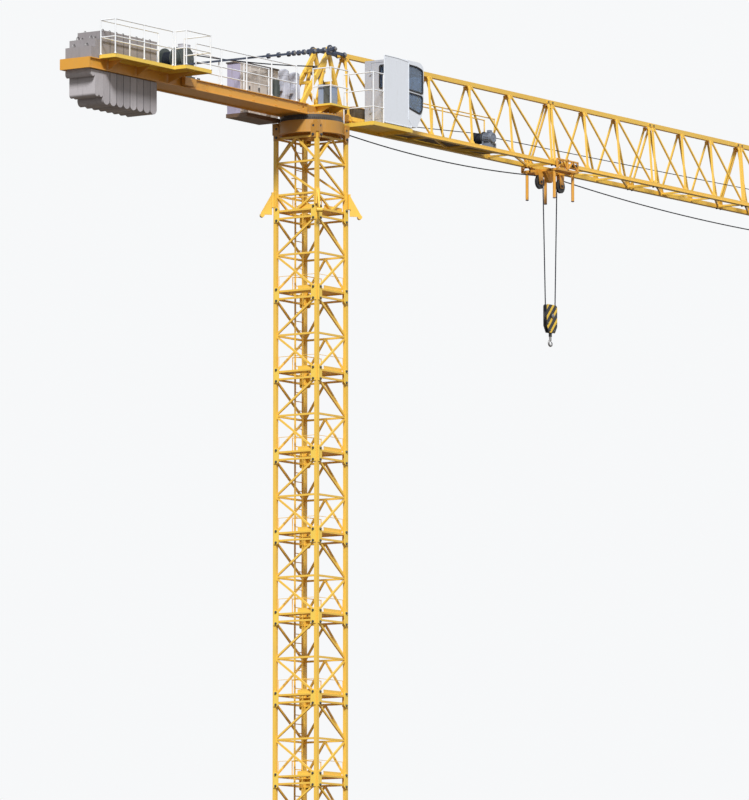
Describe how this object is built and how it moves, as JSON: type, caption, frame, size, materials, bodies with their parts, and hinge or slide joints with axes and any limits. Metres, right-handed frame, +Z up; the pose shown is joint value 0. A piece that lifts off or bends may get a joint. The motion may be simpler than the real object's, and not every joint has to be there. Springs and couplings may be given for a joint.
{
  "type": "flat-top tower crane, half-size scale model",
  "caption": "Half-size model of a flat-top tower crane: lattice tower, slewing upper works with cab, ballasted counterjib, lattice jib, trolley and hook block.",
  "frame": {"origin": "middle of the anchor frame's underside, on the ground, on the slewing axis", "axes": "+X out along the jib, +Y across it to the side away from the cab, +Z up"},
  "size_m": [23.1716, 1.468, 19.252],
  "materials": {
    "crane_yellow": "satin paint",
    "white_paint": "satin paint",
    "steel": "dull galvanised",
    "dark_paint": "satin paint",
    "concrete": "cast concrete",
    "rope": "greased wire",
    "glass": "clear",
    "black_block": "satin paint with yellow stripes"
  },
  "bodies": {
    "tower": {"anchor_frame": "crane_yellow", "anchor_feet": "crane_yellow", "tower_near_left": "crane_yellow", "tower_near_right": "crane_yellow", "tower_far_left": "crane_yellow", "tower_far_right": "crane_yellow", "tower_fishplates": "crane_yellow", "tower_platforms": "crane_yellow", "tower_ladders": "crane_yellow", "climbing_brackets": "crane_yellow", "slewing_drum": "crane_yellow", "slewing_ring_lower": "dark_paint"},
    "upper_works": {"slewing_ring_upper": "dark_paint", "turntable": "crane_yellow", "apex_frame": "crane_yellow", "apex_links": "steel", "side_platform": "crane_yellow", "tie_bars": "steel", "counterjib_beams": "crane_yellow", "counterjib_floor": "crane_yellow", "counterjib_platforms": "crane_yellow", "handrails": "white_paint", "ballast_slabs": "concrete", "winch_frame": "dark_paint", "slewing_motor": "white_paint", "brake_motor": "dark_paint", "switch_cabinet": "white_paint", "control_cabinet": "steel", "jib_near_side": "crane_yellow", "jib_far_side": "crane_yellow", "jib_top_chord": "crane_yellow", "jib_bottom_bracing": "crane_yellow", "jib_catwalk": "dark_paint", "catwalk_rails": "crane_yellow", "trolley_winch_frame": "dark_paint", "jib_tip": "crane_yellow", "cab_platform": "crane_yellow", "cab_shell": "white_paint", "cab_glass": "glass", "cab_side_panel": "white_paint", "hoist_rope_top": "rope", "hoist_rope_inner": "rope", "hoist_rope_outer": "rope", "travel_rope": "rope"},
    "cab_door": {"cab_door": "white_paint"},
    "hoist_drum": {"hoist_drum": "dark_paint"},
    "trolley_drum": {"trolley_drum": "dark_paint"},
    "rope_pulley": {"rope_pulley": "steel"},
    "root_pulley": {"root_pulley": "steel"},
    "trolley": {"trolley_frame": "crane_yellow", "trolley_trusses": "crane_yellow", "trolley_wheels": "dark_paint", "rope_falls": "rope"},
    "trolley_sheave_in": {"trolley_sheave_in": "steel"},
    "trolley_sheave_out": {"trolley_sheave_out": "steel"},
    "hook_block": {"hook_block": "black_block"},
    "block_sheave": {"block_sheave": "steel"},
    "hook": {"hook": "steel"}
  },
  "joints": [
    {"name": "slewing", "type": "hinge", "parent": "tower", "child": "upper_works", "pos_m": [0, 0, 18.073], "axis": [0, 0, 1], "continuous": true},
    {"name": "trolley_travel", "type": "slide", "parent": "upper_works", "child": "trolley", "axis": [1, 0, 0], "range_m": [-4.2, 9.7], "deforming": ["hoist_rope_inner", "hoist_rope_outer"]},
    {"name": "hook_hoist", "type": "slide", "parent": "trolley", "child": "hook_block", "axis": [0, 0, 1], "range_m": [-14.6, 1.2], "deforming": ["rope_falls"]},
    {"name": "hook_swivel", "type": "hinge", "parent": "hook_block", "child": "hook", "pos_m": [6.72, 0, 15.339], "axis": [0, 0, 1], "continuous": true},
    {"name": "block_sheave_turn", "type": "hinge", "parent": "hook_block", "child": "block_sheave", "pos_m": [6.72, 0, 15.674], "axis": [0, 1, 0], "continuous": true},
    {"name": "inner_sheave_turn", "type": "hinge", "parent": "trolley", "child": "trolley_sheave_in", "pos_m": [6.415, 0, 17.834], "axis": [0, 1, 0], "continuous": true},
    {"name": "outer_sheave_turn", "type": "hinge", "parent": "trolley", "child": "trolley_sheave_out", "pos_m": [7.025, 0, 17.834], "axis": [0, 1, 0], "continuous": true},
    {"name": "rope_pulley_turn", "type": "hinge", "parent": "upper_works", "child": "rope_pulley", "pos_m": [0.146, 0, 18.814], "axis": [0, 1, 0], "continuous": true},
    {"name": "root_pulley_turn", "type": "hinge", "parent": "upper_works", "child": "root_pulley", "pos_m": [0.85, 0, 18.021], "axis": [0, 1, 0], "continuous": true},
    {"name": "hoist_drum_turn", "type": "hinge", "parent": "upper_works", "child": "hoist_drum", "pos_m": [-3.55, 0, 18.529], "axis": [0, 1, 0], "continuous": true},
    {"name": "trolley_drum_turn", "type": "hinge", "parent": "upper_works", "child": "trolley_drum", "pos_m": [4.78, 0, 18.346], "axis": [0, 1, 0], "continuous": true},
    {"name": "cab_door_swing", "type": "hinge", "parent": "upper_works", "child": "cab_door", "pos_m": [1.021, -0.42, 18.079], "axis": [0, 0, 1], "range_deg": [-100, 0]}
  ]
}
